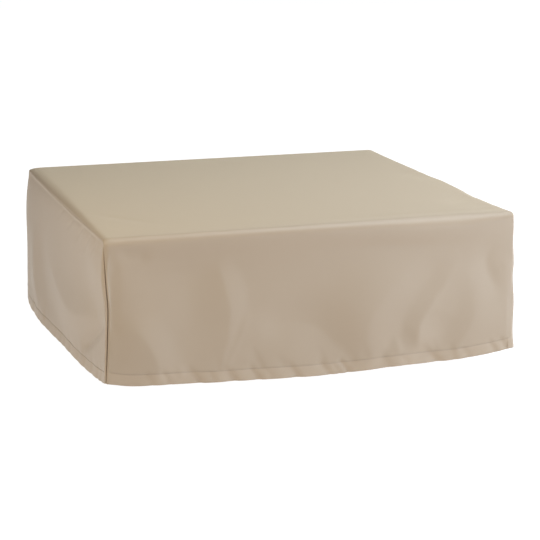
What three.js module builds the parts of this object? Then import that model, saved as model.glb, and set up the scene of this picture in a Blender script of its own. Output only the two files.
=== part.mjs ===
// Fitted cover for a square coffee table, hollow and open below, in the shape in which it hangs.
// Millimetres. X runs left to right, Y front to back and Z up. The origin is the centre of the
// underside of the top, which lies on what the cover is put over.

import * as THREE from 'three';
import { mergeVertices } from 'three/addons/utils/BufferGeometryUtils.js';

// Driving sizes

const coverWidth = 980;
const coverDepth = 943;
const clothThickness = 1.8;
const hemHeight = 27;
const hemThickness = 3.4;
const bendRadius = 16;
const foldRadius = 2.3;
const allowance = 12;
const seamGap = 0.3;
const stitchDepth = 4;
const seamMouth = 1.2;

// How finely the cloth is divided

const columnsAcross = 32;
const rowsAlongTop = 18;
const bendSteps = 4;
const rollSteps = 3;
const rowsDown = [0, 0.035, 0.085, 0.155, 0.245, 0.35, 0.46, 0.57, 0.68, 0.79, 0.9];
const hemStep = 3;

const clothColour = 0xb9ab97;
const clothRoughness = 0.82;

const halfWidth = coverWidth / 2;
const halfDepth = coverDepth / 2;
const outerTop = clothThickness;

// Each upright face has a row for each place along it, from the left or front corner to the
// right or back one. Drop is the hem's depth below the top. Middle and hem say how far the
// cloth stands out from the upright plane half way down and at the hem.

const frontDrape = [
  { along: 0, drop: 327, middle: 1, hem: 5 },
  { along: 50, drop: 336, middle: 4, hem: 6 },
  { along: 110, drop: 339, middle: 2, hem: 5 },
  { along: 200, drop: 345, middle: -4, hem: -1 },
  { along: 290, drop: 349, middle: -3, hem: 1 },
  { along: 420, drop: 353, middle: -3, hem: 4 },
  { along: 520, drop: 355, middle: -2, hem: 1 },
  { along: 620, drop: 351, middle: 1, hem: 2 },
  { along: 700, drop: 348, middle: -1, hem: 0 },
  { along: 770, drop: 348, middle: -3, hem: 2 },
  { along: 830, drop: 346, middle: -2, hem: 1 },
  { along: 890, drop: 341, middle: 0, hem: 4 },
  { along: 940, drop: 335, middle: 0, hem: 7 },
  { along: 980, drop: 328, middle: 2, hem: 6 },
];

const backDrape = [
  { along: 0, drop: 338, middle: 4, hem: 8 },
  { along: 90, drop: 347, middle: 7, hem: 13 },
  { along: 260, drop: 352, middle: 3, hem: 8 },
  { along: 430, drop: 357, middle: 5, hem: 14 },
  { along: 600, drop: 355, middle: 2, hem: 7 },
  { along: 780, drop: 350, middle: 5, hem: 12 },
  { along: 900, drop: 343, middle: 3, hem: 10 },
  { along: 980, drop: 331, middle: 3, hem: 7 },
];

const leftDrape = [
  { along: 0, drop: 328, middle: 0, hem: 7 },
  { along: 70, drop: 339, middle: 1, hem: 7 },
  { along: 155, drop: 347, middle: 2, hem: 8 },
  { along: 240, drop: 353, middle: 3, hem: 10 },
  { along: 455, drop: 358, middle: 7, hem: 16 },
  { along: 610, drop: 360, middle: 12, hem: 23 },
  { along: 810, drop: 358, middle: 19, hem: 26 },
  { along: 885, drop: 352, middle: 18, hem: 22 },
  { along: 943, drop: 338, middle: 9, hem: 12 },
];

const rightDrape = [
  { along: 0, drop: 327, middle: 4, hem: 9 },
  { along: 80, drop: 341, middle: 5, hem: 12 },
  { along: 240, drop: 351, middle: 9, hem: 17 },
  { along: 420, drop: 356, middle: 12, hem: 15 },
  { along: 610, drop: 358, middle: 8, hem: 19 },
  { along: 790, drop: 352, middle: 7, hem: 14 },
  { along: 943, drop: 331, middle: 3, hem: 8 },
];

// Folds on the upright faces. Each is a line of points on the cloth, from its upper end to its
// lower one: how far along the face and how far down it lies, how far it rises there, or sinks if
// that is below nought, and how far its two sides spread before and behind it. Crease rounds its
// crest and foot its sides, and starts says how far below the edge of the top it is whole.

const frontFolds = [
  {
    line: [
      [36, 84, 0, 80, 64],
      [150, 84, -4.5, 100, 70],
      [230, 92, -6.5, 110, 76],
      [330, 94, -4, 110, 76],
      [480, 90, -4, 110, 72],
      [620, 80, -5.5, 100, 62],
      [710, 74, -5.5, 90, 56],
      [800, 72, -3, 80, 52],
      [880, 70, -1.6, 70, 50],
      [950, 66, 0, 60, 40],
    ],
    crease: 14,
    starts: 40,
  },
  {
    line: [
      [18, 206, 0, 70, 50],
      [66, 216, 6, 84, 52],
      [96, 250, 8, 88, 52],
      [112, 290, 8, 84, 50],
      [118, 324, 7, 80, 50],
    ],
  },
  {
    line: [
      [250, 60, 0, 70, 36],
      [262, 92, 5.5, 70, 40],
      [274, 130, 7.5, 70, 50],
      [283, 172, 7.5, 68, 48],
      [284, 205, 7, 62, 38],
      [279, 250, 6.5, 58, 24],
      [268, 286, 6, 54, 18],
      [258, 324, 5.5, 46, 14],
    ],
    foot: 0.2,
  },
  {
    line: [
      [360, 246, 0, 64, 60],
      [400, 226, -4, 64, 60],
      [446, 220, -5, 64, 66],
      [494, 238, -5.2, 64, 70],
      [545, 288, -4.8, 60, 60],
      [574, 324, -4, 50, 50],
    ],
  },
  {
    line: [
      [826, 50, 0, 150, 90],
      [744, 96, 4.5, 140, 100],
      [680, 146, 7.5, 140, 112],
      [636, 204, 8.5, 130, 108],
      [615, 250, 8.5, 120, 100],
      [610, 290, 7.5, 110, 84],
      [614, 326, 6, 100, 76],
    ],
    crease: 12,
  },
  {
    line: [
      [858, 84, 0, 32, 60],
      [835, 112, 3, 32, 60],
      [813, 148, 5, 34, 60],
      [776, 200, 7, 36, 64],
      [746, 248, 8.5, 38, 66],
      [740, 284, 9, 40, 60],
      [742, 306, 5, 40, 54],
      [744, 326, 1, 34, 50],
    ],
    foot: 0.2,
  },
  {
    line: [
      [862, 104, 0, 60, 60],
      [868, 150, 2, 90, 70],
      [877, 200, 5.5, 105, 74],
      [881, 238, 7.5, 105, 74],
      [864, 280, 6.5, 64, 66],
      [848, 304, 6, 40, 56],
      [836, 330, 5, 24, 50],
    ],
    foot: 0.6,
  },
  { line: [[686, 276, 0, 10, 30], [691, 302, 4.5, 10, 48], [694, 330, 6.5, 10, 56]], crease: 2, foot: 0.2 },
  { line: [[938, 60, 0, 40, 22], [912, 104, -2.6, 44, 22], [922, 150, -3, 44, 22], [956, 196, 0, 30, 20]] },
];

const backFolds = [
  { line: [[120, 50, 0, 60, 60], [190, 180, 8, 66, 60], [270, 310, 6, 60, 50]] },
  { line: [[430, 90, 0, 50, 50], [405, 220, -6, 60, 60], [400, 340, -6, 60, 60]], crease: 12 },
  { line: [[560, 80, 0, 50, 50], [575, 210, 6.5, 56, 50], [590, 345, 6, 56, 50]] },
  { line: [[860, 50, 0, 60, 50], [800, 180, 8, 70, 50], [715, 320, 7, 60, 50]] },
  { line: [[905, 130, 0, 40, 40], [880, 230, -4, 40, 40], [850, 335, -4, 40, 40]] },
];

const leftFolds = [
  {
    line: [
      [660, 150, 0, 100, 70],
      [520, 205, 6, 110, 80],
      [400, 236, 9, 120, 84],
      [290, 238, 9, 120, 80],
      [190, 216, 6.5, 90, 60],
      [80, 186, 0, 70, 50],
    ],
    crease: 10,
  },
  {
    line: [
      [244, 308, 0, 26, 22],
      [186, 286, -5, 28, 24],
      [108, 244, -6.5, 28, 26],
      [48, 212, -5, 24, 24],
      [6, 188, 0, 20, 20],
    ],
    crease: 3,
  },
  {
    line: [
      [790, 110, 0, 70, 60],
      [776, 190, 6, 80, 60],
      [752, 262, 7, 90, 60],
      [690, 320, 5, 80, 60],
    ],
    crease: 10,
  },
  { line: [[190, 66, 0, 50, 80], [90, 78, 4, 56, 96], [16, 92, 4, 56, 90]], crease: 10, starts: 30 },
];

const rightFolds = [
  { line: [[120, 50, 0, 60, 50], [170, 190, 7, 64, 56], [215, 330, 6, 60, 50]] },
  { line: [[420, 70, 0, 60, 60], [400, 210, -5, 66, 66], [380, 345, -6, 66, 66]], crease: 12 },
  { line: [[560, 80, 0, 60, 60], [590, 210, 6, 66, 60], [600, 345, 7, 60, 60]] },
  { line: [[850, 50, 0, 60, 50], [800, 190, 6, 70, 50], [730, 330, 5, 60, 50]] },
];

// How softly the long panel bends over the front edge of the top

const frontBend = [
  { along: 0, radius: 16 },
  { along: 110, radius: 13 },
  { along: 420, radius: 14 },
  { along: 640, radius: 17 },
  { along: 770, radius: 25 },
  { along: 860, radius: 26 },
  { along: 930, radius: 19 },
  { along: 980, radius: 14 },
];

// Corner seams, a row for each depth below the top. Edge is how far the edge of the front or
// back drop stands out sideways there. Lip is how far the end panel stands out beyond that
// edge. Turn is the angle in degrees at which the seam runs in.

const frontLeftCorner = [
  { down: 16, edge: 0, lip: 0, turn: 90 },
  { down: 24, edge: -0.2, lip: 2.2, turn: 54 },
  { down: 40, edge: -0.6, lip: 3.2, turn: 40 },
  { down: 62, edge: -1.5, lip: 4, turn: 34 },
  { down: 107, edge: -3.6, lip: 5, turn: 28 },
  { down: 155, edge: -6.5, lip: 5.9, turn: 22 },
  { down: 209, edge: -4.5, lip: 5.8, turn: 22 },
  { down: 285, edge: -0.4, lip: 5.4, turn: 24 },
  { down: 328, edge: 2.6, lip: 5, turn: 26 },
];

const frontRightCorner = [
  { down: 16, edge: 0, lip: 0, turn: 90 },
  { down: 36, edge: 0.5, lip: 1.6, turn: 62 },
  { down: 80, edge: -0.5, lip: 3.4, turn: 42 },
  { down: 120, edge: 1, lip: 4.2, turn: 34 },
  { down: 155, edge: -1.5, lip: 4.6, turn: 30 },
  { down: 215, edge: 2.5, lip: 4.6, turn: 30 },
  { down: 285, edge: 2, lip: 4.2, turn: 32 },
  { down: 328, edge: 6, lip: 4, turn: 34 },
];

const backLeftCorner = [
  { down: 16, edge: 0, lip: 0, turn: 90 },
  { down: 36, edge: 2, lip: 1.6, turn: 62 },
  { down: 80, edge: 5, lip: 3, turn: 42 },
  { down: 130, edge: 6, lip: 3.8, turn: 34 },
  { down: 210, edge: 5, lip: 4, turn: 32 },
  { down: 338, edge: 8, lip: 4, turn: 34 },
];

const backRightCorner = [
  { down: 16, edge: 0, lip: 0, turn: 90 },
  { down: 36, edge: 0, lip: 1.6, turn: 62 },
  { down: 80, edge: -1, lip: 3, turn: 42 },
  { down: 130, edge: -2, lip: 3.8, turn: 34 },
  { down: 210, edge: 0, lip: 4, turn: 32 },
  { down: 331, edge: 4, lip: 4, turn: 34 },
];

// How the top rolls over the two ends before it meets the seam, a row for each place from
// front to back: how far in the roll starts and how far down it reaches.

const leftRoll = [
  { along: 0, rollOut: 14, rollDown: 5 },
  { along: 130, rollOut: 16, rollDown: 6 },
  { along: 370, rollOut: 20, rollDown: 10.5 },
  { along: 570, rollOut: 26, rollDown: 10.5 },
  { along: 770, rollOut: 32, rollDown: 8.5 },
  { along: 943, rollOut: 34, rollDown: 6.5 },
];

const rightRoll = [
  { along: 0, rollOut: 4, rollDown: 3.5 },
  { along: 70, rollOut: 11, rollDown: 6 },
  { along: 190, rollOut: 20, rollDown: 9 },
  { along: 330, rollOut: 9, rollDown: 6 },
  { along: 450, rollOut: 4, rollDown: 4 },
  { along: 580, rollOut: 11, rollDown: 7 },
  { along: 760, rollOut: 16, rollDown: 9 },
  { along: 943, rollOut: 16, rollDown: 6 },
];

const cornerRoll = 3.2;
const cornerRollReach = 70;

// Curves through the tables

function readTable(rows, placeColumn, valueColumn, place) {
  const last = rows.length - 1;
  let row = 0;
  while (row < last - 1 && place > rows[row + 1][placeColumn]) {
    row += 1;
  }
  const slopeAt = (index) => {
    const before = rows[Math.max(index - 1, 0)];
    const after = rows[Math.min(index + 1, last)];
    return (after[valueColumn] - before[valueColumn]) / (after[placeColumn] - before[placeColumn]);
  };
  const start = rows[row];
  const end = rows[row + 1];
  const span = end[placeColumn] - start[placeColumn];
  const share = THREE.MathUtils.clamp((place - start[placeColumn]) / span, 0, 1);
  const rest = 1 - share;
  return (
    start[valueColumn] * (1 + 2 * share) * rest * rest +
    end[valueColumn] * share * share * (3 - 2 * share) +
    slopeAt(row) * span * share * rest * rest -
    slopeAt(row + 1) * span * share * share * rest
  );
}

// A smooth curve through the points of a fold

const curvePieces = 4;

function smoothLine(points) {
  const last = points.length - 1;
  const beyond = (end, before) => end.map((value, column) => 2 * value - before[column]);
  const whole = [beyond(points[0], points[1]), ...points, beyond(points[last], points[last - 1])];
  const line = [];
  for (let start = 0; start < last; start += 1) {
    const [a, b, c, d] = whole.slice(start, start + 4);
    for (let piece = 0; piece < curvePieces; piece += 1) {
      const t = piece / curvePieces;
      line.push(b.map((value, column) => {
        const run = c[column] - a[column];
        const bend = 2 * a[column] - 5 * value + 4 * c[column] - d[column];
        const twist = 3 * value - a[column] - 3 * c[column] + d[column];
        return 0.5 * (2 * value + run * t + bend * t * t + twist * t * t * t);
      }));
    }
  }
  line.push(points[last]);
  return line;
}

// How far a fold lifts a place: its crest has the whole rise, and its sides fall to nothing at
// their spread. Pieces of the line that are about as near share the place between them.

const blending = 5;
const foldsStart = 56;
const asideSoftness = 2;

function foldLift(fold, along, down) {
  const { line, crease = 5, foot = 0.3 } = fold;
  const pieces = [];
  for (let index = 0; index + 1 < line.length; index += 1) {
    const start = line[index];
    const run = line[index + 1].map((value, column) => value - start[column]);
    const length = Math.hypot(run[0], run[1]);
    const offAlong = along - start[0];
    const offDown = down - start[1];
    const share = THREE.MathUtils.clamp((offAlong * run[0] + offDown * run[1]) / (length * length), 0, 1);
    pieces.push({
      far: Math.hypot(offAlong - share * run[0], offDown - share * run[1]),
      aside: (run[1] * offAlong - run[0] * offDown) / length,
      rise: start[2] + share * run[2],
      before: start[3] + share * run[3],
      behind: start[4] + share * run[4],
    });
  }
  const nearest = Math.min(...pieces.map((piece) => piece.far));
  const weights = pieces.map((piece) => Math.exp((nearest - piece.far) / blending));
  const total = weights.reduce((sum, weight) => sum + weight, 0);
  const mixed = (key) => pieces.reduce((sum, piece, index) => sum + piece[key] * weights[index], 0) / total;
  const distance = mixed('far');
  const side = THREE.MathUtils.clamp(mixed('aside') / (distance + asideSoftness), -1, 1);
  const reach = THREE.MathUtils.lerp(mixed('before'), mixed('behind'), 0.5 + 0.5 * side);
  const inside = 1 - (Math.hypot(distance, crease) - crease) / reach;
  return (mixed('rise') * (inside + Math.hypot(inside, foot))) / (1 + Math.hypot(1, foot));
}

const smoothFolds = (folds) => folds.map((fold) => ({ ...fold, line: smoothLine(fold.line) }));

// How far a face stands out from its upright plane, and how deep its hem hangs

const faces = {
  front: { drape: frontDrape, folds: smoothFolds(frontFolds), length: coverWidth },
  back: { drape: backDrape, folds: smoothFolds(backFolds), length: coverWidth },
  left: { drape: leftDrape, folds: smoothFolds(leftFolds), length: coverDepth },
  right: { drape: rightDrape, folds: smoothFolds(rightFolds), length: coverDepth },
};

const foldFadeAtEdge = 16;

// How softly the cloth bends over the edge of the top

function bendOf(face, along) {
  return face === faces.front ? readTable(frontBend, 'along', 'radius', along) : bendRadius;
}

function hemDrop(face, along) {
  return readTable(face.drape, 'along', 'drop', along);
}

function standOut(face, along, down) {
  const drop = hemDrop(face, along);
  const middle = readTable(face.drape, 'along', 'middle', along);
  const hem = readTable(face.drape, 'along', 'hem', along);
  const bend = bendOf(face, along);
  const share = THREE.MathUtils.clamp((down - bend) / (drop - bend), 0, 1);
  const drape = share * (4 * middle - hem) + share * share * (2 * hem - 4 * middle);
  const fromEdge = Math.min(along, face.length - along);
  const edgeFade = THREE.MathUtils.smoothstep(fromEdge, 0, foldFadeAtEdge);
  let lift = 0;
  for (const fold of face.folds) {
    const topFade = THREE.MathUtils.smoothstep(down, bend, bend + (fold.starts ?? foldsStart));
    lift += foldLift(fold, along, down) * topFade;
  }
  return drape + lift * edgeFade;
}

// Depth below the top of a row of the cloth: the rows above the hem share its height

const rowCount = rowsDown.length + 3;

function depthOfRow(row, face, along) {
  const drop = hemDrop(face, along);
  const bend = bendOf(face, along);
  const aboveHem = drop - hemHeight - hemStep;
  if (row < rowsDown.length) {
    return bend + rowsDown[row] * (aboveHem - bend);
  }
  return [aboveHem, aboveHem + hemStep, drop][row - rowsDown.length];
}

// The long panel runs from the front hem up, over the top and down to the back hem. A station
// is one line across it, and the end panels have the same stations on their seams.

function makeStations() {
  const stations = [];
  for (let row = rowCount - 1; row > 0; row -= 1) {
    stations.push({ kind: 'face', face: faces.front, side: -1, row });
  }
  for (let step = 0; step < bendSteps; step += 1) {
    stations.push({ kind: 'bend', side: -1, angle: (step / bendSteps) * (Math.PI / 2) });
  }
  for (let row = 0; row <= rowsAlongTop; row += 1) {
    stations.push({ kind: 'top', share: row / rowsAlongTop });
  }
  for (let step = bendSteps - 1; step >= 0; step -= 1) {
    stations.push({ kind: 'bend', side: 1, angle: (step / bendSteps) * (Math.PI / 2) });
  }
  for (let row = 1; row < rowCount; row += 1) {
    stations.push({ kind: 'face', face: faces.back, side: 1, row });
  }
  return stations;
}

const stations = makeStations();

// Point of the long panel's outer face at a station, x from the middle, and its outward way

function topPlace(share, along) {
  return THREE.MathUtils.lerp(bendOf(faces.front, along) - halfDepth, halfDepth - bendRadius, share);
}

function stripPoint(station, x) {
  const along = THREE.MathUtils.clamp(x + halfWidth, 0, coverWidth);
  if (station.kind === 'top') {
    return new THREE.Vector3(x, topPlace(station.share, along), outerTop);
  }
  if (station.kind === 'bend') {
    const bend = bendOf(station.side < 0 ? faces.front : faces.back, along);
    const y = halfDepth - bend + bend * Math.cos(station.angle);
    const z = outerTop - bend + bend * Math.sin(station.angle);
    return new THREE.Vector3(x, station.side * y, z);
  }
  const down = depthOfRow(station.row, station.face, along);
  const y = halfDepth + standOut(station.face, along, down);
  return new THREE.Vector3(x, station.side * y, outerTop - down);
}

function outwardAt(station) {
  if (station.kind === 'top') {
    return new THREE.Vector3(0, 0, 1);
  }
  if (station.kind === 'bend') {
    return new THREE.Vector3(0, station.side * Math.cos(station.angle), Math.sin(station.angle));
  }
  return new THREE.Vector3(0, station.side, 0);
}

// Seam sizes at a station, for the left end, -1, or the right one, 1

const corners = {
  front: { '-1': frontLeftCorner, 1: frontRightCorner },
  back: { '-1': backLeftCorner, 1: backRightCorner },
};

function seamSizes(station, end) {
  const roll = end < 0 ? leftRoll : rightRoll;
  const rollAt = (along, column) => readTable(roll, 'along', column, along);
  if (station.kind === 'top') {
    const along = topPlace(station.share, end < 0 ? 0 : coverWidth) + halfDepth;
    const rollOut = rollAt(along, 'rollOut');
    const rollDown = rollAt(along, 'rollDown');
    return { edge: 0, lip: 0, turn: Math.PI / 2, rollOut, rollDown };
  }
  const alongRoll = station.side < 0 ? 0 : coverDepth;
  const topRollOut = rollAt(alongRoll, 'rollOut');
  const topRollDown = rollAt(alongRoll, 'rollDown');
  if (station.kind === 'bend') {
    return { edge: 0, lip: 0, turn: Math.PI / 2, rollOut: topRollOut, rollDown: topRollDown };
  }
  const corner = corners[station.side < 0 ? 'front' : 'back'][end];
  const down = depthOfRow(station.row, station.face, end < 0 ? 0 : coverWidth);
  const fade = THREE.MathUtils.smoothstep(down, bendRadius, bendRadius + cornerRollReach);
  return {
    edge: readTable(corner, 'down', 'edge', down),
    lip: readTable(corner, 'down', 'lip', down),
    turn: THREE.MathUtils.degToRad(readTable(corner, 'down', 'turn', down)),
    rollOut: THREE.MathUtils.lerp(topRollOut, cornerRoll, fade),
    rollDown: THREE.MathUtils.lerp(topRollDown, cornerRoll, fade),
  };
}

// Section of a seam as [in from the edge, down from the face] points of the outer faces. The
// long panel rolls over and turns in, and the end panel turns in to meet it.

function stripEdgeSection(sizes) {
  const points = [];
  for (let step = 1; step <= rollSteps; step += 1) {
    const angle = (step / rollSteps) * (Math.PI / 2);
    points.push([sizes.rollOut * (1 - Math.sin(angle)), sizes.rollDown * (1 - Math.cos(angle))]);
  }
  for (const share of [0.5, 1]) {
    const angle = sizes.turn * share;
    points.push([foldRadius * (1 - Math.cos(angle)), sizes.rollDown + foldRadius * Math.sin(angle)]);
  }
  const [turnedIn, turnedDown] = points[points.length - 1];
  for (const depth of [stitchDepth, allowance]) {
    points.push([turnedIn + depth * Math.sin(sizes.turn), turnedDown + depth * Math.cos(sizes.turn)]);
  }
  return points;
}

function endEdgeSection(sizes) {
  const { turn, lip, rollDown } = sizes;
  const sine = Math.sin(turn);
  const cosine = Math.cos(turn);
  const mouth = seamGap + cosine * seamMouth;
  const stripTurnedIn = foldRadius * (1 - cosine);
  const stripTurnedDown = rollDown + foldRadius * sine;
  const sideways = cosine * (-lip + foldRadius * (1 + cosine) - stripTurnedIn);
  const centreDown = stripTurnedDown + foldRadius * sine + (mouth + sideways) / sine;
  const centreIn = foldRadius - lip;
  const points = [[-lip, centreDown]];
  for (const share of [1 / 3, 2 / 3, 1]) {
    const angle = (Math.PI - turn) * share;
    points.push([centreIn - foldRadius * Math.cos(angle), centreDown - foldRadius * Math.sin(angle)]);
  }
  for (const depth of [stitchDepth, allowance]) {
    const alongIn = stripTurnedIn + depth * sine;
    const alongDown = stripTurnedDown + depth * cosine;
    points.push([alongIn - seamGap * cosine, alongDown + seamGap * sine]);
  }
  return points;
}

function seamPoint(station, end, sizes, [inward, down]) {
  const edgeX = end * (halfWidth + sizes.edge);
  const place = stripPoint(station, edgeX);
  place.x -= end * inward;
  place.addScaledVector(outwardAt(station), -down);
  return place;
}

const mergeDistance = 1e-4;

// A sheet with thickness, from its outer points and four-sided faces. The inner points lie
// behind the outer ones, and a rim joins the two skins wherever the sheet ends.

function thickSheet(points, thicknesses, quads) {
  const triangles = [];
  for (const [a, b, c, d] of quads) {
    triangles.push([a, b, c], [a, c, d]);
  }
  const outwards = points.map(() => new THREE.Vector3());
  for (const [a, b, c] of triangles) {
    const one = points[b].clone().sub(points[a]);
    const two = points[c].clone().sub(points[a]);
    const area = one.cross(two);
    for (const corner of [a, b, c]) {
      outwards[corner].add(area);
    }
  }
  const positions = [];
  for (const point of points) {
    positions.push(point.x, point.y, point.z);
  }
  points.forEach((point, index) => {
    const inner = point.clone().addScaledVector(outwards[index].normalize(), -thicknesses[index]);
    positions.push(inner.x, inner.y, inner.z);
  });
  const count = points.length;
  const indices = [];
  const edges = new Map();
  for (const [a, b, c] of triangles) {
    indices.push(a, b, c, a + count, c + count, b + count);
    for (const [from, to] of [[a, b], [b, c], [c, a]]) {
      if (!edges.delete(`${to} ${from}`)) {
        edges.set(`${from} ${to}`, [from, to]);
      }
    }
  }
  for (const [from, to] of edges.values()) {
    indices.push(to, from, from + count, to, from + count, to + count);
  }
  const geometry = new THREE.BufferGeometry();
  geometry.setAttribute('position', new THREE.Float32BufferAttribute(positions, 3));
  geometry.setIndex(indices);
  return mergeVertices(geometry, mergeDistance);
}

function clothMesh(name, geometry) {
  const finish = { color: clothColour, roughness: clothRoughness, metalness: 0 };
  const material = new THREE.MeshStandardMaterial(finish);
  const mesh = new THREE.Mesh(geometry, material);
  mesh.name = name;
  return mesh;
}

// The long panel: front drop, top and back drop in one piece

function makeBodyPanel() {
  const points = [];
  const thicknesses = [];
  const lines = stations.map((station) => {
    const leftSizes = seamSizes(station, -1);
    const rightSizes = seamSizes(station, 1);
    const leftPoints = stripEdgeSection(leftSizes).map((place) => seamPoint(station, -1, leftSizes, place));
    const rightPoints = stripEdgeSection(rightSizes).map((place) => seamPoint(station, 1, rightSizes, place));
    const leftX = -halfWidth - leftSizes.edge + leftSizes.rollOut;
    const rightX = halfWidth + rightSizes.edge - rightSizes.rollOut;
    const middlePoints = [];
    for (let column = 0; column <= columnsAcross; column += 1) {
      middlePoints.push(stripPoint(station, THREE.MathUtils.lerp(leftX, rightX, column / columnsAcross)));
    }
    const line = [...leftPoints.reverse(), ...middlePoints, ...rightPoints];
    const inHem = station.kind === 'face' && station.row >= rowCount - 2;
    const first = points.length;
    line.forEach((point, index) => {
      const fromEnd = Math.min(index, line.length - 1 - index) - leftPoints.length;
      points.push(point);
      thicknesses.push(inHem && fromEnd > 0 ? hemThickness : clothThickness);
    });
    return { first, count: line.length };
  });
  const quads = [];
  for (let station = 0; station + 1 < lines.length; station += 1) {
    const lower = lines[station].first;
    const upper = lines[station + 1].first;
    const half = Math.floor(lines[station].count / 2);
    for (let column = 0; column + 1 < lines[station].count; column += 1) {
      const corners = [lower + column, lower + column + 1, upper + column + 1, upper + column];
      quads.push(column < half ? corners : [...corners.slice(1), corners[0]]);
    }
  }
  return clothMesh('body_panel', thickSheet(points, thicknesses, quads));
}

// An end panel: a curtain from the front corner to the back one. Its outer faces are a grid
// spread between the hem and the seam, and rings that turn in along the seam.

function makeEndPanel(name, face, end) {
  const sizesAt = stations.map((station) => seamSizes(station, end));
  const seamRings = stations.map((station, index) => {
    const section = endEdgeSection(sizesAt[index]);
    return section.map((place) => seamPoint(station, end, sizesAt[index], place));
  });
  const rows = rowCount - 1 + bendSteps / 2;
  const columns = stations.length - 1 - 2 * rows;
  const stationAt = (row, column) => {
    if (column === 0) {
      return row;
    }
    if (column === columns) {
      return stations.length - 1 - row;
    }
    return row === rows ? rows + column : -1;
  };
  const seamAt = (row, column) => seamRings[stationAt(row, column)][0];
  const spread = makeSpread(face, rows, columns, seamAt);

  const points = [];
  const thicknesses = [];
  const indexAt = [];
  for (let row = 0; row <= rows; row += 1) {
    indexAt.push([]);
    for (let column = 0; column <= columns; column += 1) {
      const onSeam = stationAt(row, column) >= 0;
      indexAt[row].push(points.length);
      points.push(onSeam ? seamAt(row, column) : spread(row, column, end));
      thicknesses.push(!onSeam && row <= 1 ? hemThickness : clothThickness);
    }
  }
  const quads = [];
  const addQuad = (a, b, c, d) => quads.push(end > 0 ? [a, b, c, d] : [a, d, c, b]);
  for (let row = 0; row < rows; row += 1) {
    for (let column = 0; column < columns; column += 1) {
      const lower = indexAt[row];
      const upper = indexAt[row + 1];
      addQuad(lower[column], lower[column + 1], upper[column + 1], upper[column]);
    }
  }
  const ringIndex = seamRings.map(() => []);
  for (let row = 0; row <= rows; row += 1) {
    for (let column = 0; column <= columns; column += 1) {
      if (stationAt(row, column) >= 0) {
        ringIndex[stationAt(row, column)].push(indexAt[row][column]);
      }
    }
  }
  seamRings.forEach((ring, station) => {
    for (const place of ring.slice(1)) {
      ringIndex[station].push(points.length);
      points.push(place);
      thicknesses.push(clothThickness);
    }
  });
  for (let station = 0; station + 1 < seamRings.length; station += 1) {
    const here = ringIndex[station];
    const next = ringIndex[station + 1];
    for (let step = 0; step + 1 < here.length; step += 1) {
      addQuad(next[step], next[step + 1], here[step + 1], here[step]);
    }
  }
  return clothMesh(name, thickSheet(points, thicknesses, quads));
}

// Places of an end panel's grid: spread evenly between its seam and its hem, and then stood
// out by its drape and folds, which fade to nothing on the seams

function makeSpread(face, rows, columns, seamAt) {
  const hemLine = (column) => {
    const share = column / columns;
    const place = seamAt(0, 0).clone().lerp(seamAt(0, columns), share);
    place.z = outerTop - hemDrop(face, share * coverDepth);
    return place;
  };
  const topShare = (column) => {
    const first = seamAt(rows, 0).y;
    return (seamAt(rows, column).y - first) / (seamAt(rows, columns).y - first);
  };
  const rowShare = (row) => {
    const lowest = seamAt(0, 0).z;
    return (seamAt(row, 0).z - lowest) / (seamAt(rows, 0).z - lowest);
  };
  return (row, column, end) => {
    const up = rowShare(row);
    const back = THREE.MathUtils.lerp(column / columns, topShare(column), up);
    const place = seamAt(row, 0).clone().lerp(seamAt(row, columns), back);
    const hemAndTop = hemLine(column).lerp(seamAt(rows, column), up);
    const hemCorners = seamAt(0, 0).clone().lerp(seamAt(0, columns), back);
    const topCorners = seamAt(rows, 0).clone().lerp(seamAt(rows, columns), back);
    place.add(hemAndTop).sub(hemCorners.lerp(topCorners, up));
    const along = THREE.MathUtils.clamp(place.y + halfDepth, 0, coverDepth);
    const down = outerTop - place.z;
    const atSeams = THREE.MathUtils.lerp(standOut(face, 0, down), standOut(face, coverDepth, down), back);
    place.x += end * (standOut(face, along, down) - atSeams);
    return place;
  };
}

const cover = new THREE.Group();
cover.add(makeBodyPanel());
cover.add(makeEndPanel('end_panel_left', faces.left, -1));
cover.add(makeEndPanel('end_panel_right', faces.right, 1));

export default cover;
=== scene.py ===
# %% [markdown]
# # A fitted cover for a square coffee table
#
# The real object is a cloth box with no bottom. Three cut pieces of closely woven, coated cloth
# make it: one long panel runs from the front hem over the top to the back hem, and two end
# panels close the sides. It hangs from the underside of its top, and keeps the soft folds in
# which it was stored. This notebook hangs the three panels one after another, sews their hems
# and gives them their cloth.

# %% Load the frame that the cover was built in
import math

import bpy
import numpy as np
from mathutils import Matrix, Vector


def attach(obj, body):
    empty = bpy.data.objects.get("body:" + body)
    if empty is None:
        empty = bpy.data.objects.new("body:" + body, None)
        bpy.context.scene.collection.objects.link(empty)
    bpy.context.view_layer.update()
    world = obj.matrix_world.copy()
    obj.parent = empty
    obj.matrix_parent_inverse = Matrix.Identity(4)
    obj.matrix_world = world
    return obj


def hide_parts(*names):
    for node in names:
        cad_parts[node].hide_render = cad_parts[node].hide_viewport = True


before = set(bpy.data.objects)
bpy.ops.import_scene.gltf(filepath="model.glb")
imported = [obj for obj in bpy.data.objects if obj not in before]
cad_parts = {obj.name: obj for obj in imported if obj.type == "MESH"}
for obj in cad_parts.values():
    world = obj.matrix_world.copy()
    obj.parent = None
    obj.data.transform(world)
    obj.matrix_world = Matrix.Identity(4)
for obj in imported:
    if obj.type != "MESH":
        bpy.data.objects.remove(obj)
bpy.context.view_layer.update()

# %% [markdown]
# ## The camera
#
# The camera comes first, because every later choice is looked at through it. It stands to the
# left of the middle and a little above the top, so the front is seen almost face on, the left
# end is seen in a narrow strip, and the top lies in a flat band. A long lens keeps the sides
# nearly parallel, as in a catalogue picture.

# %% Stand the camera
camera_place = Vector((-1.2728, -4.1248, 0.8273))
camera_turn = math.radians(-17.64)
camera_tilt = math.radians(13.5)
camera_reach = 200.0
sensor_width = 36.0
picture_width = 540.0
focal_length_in_pixels = 1750.0


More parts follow.
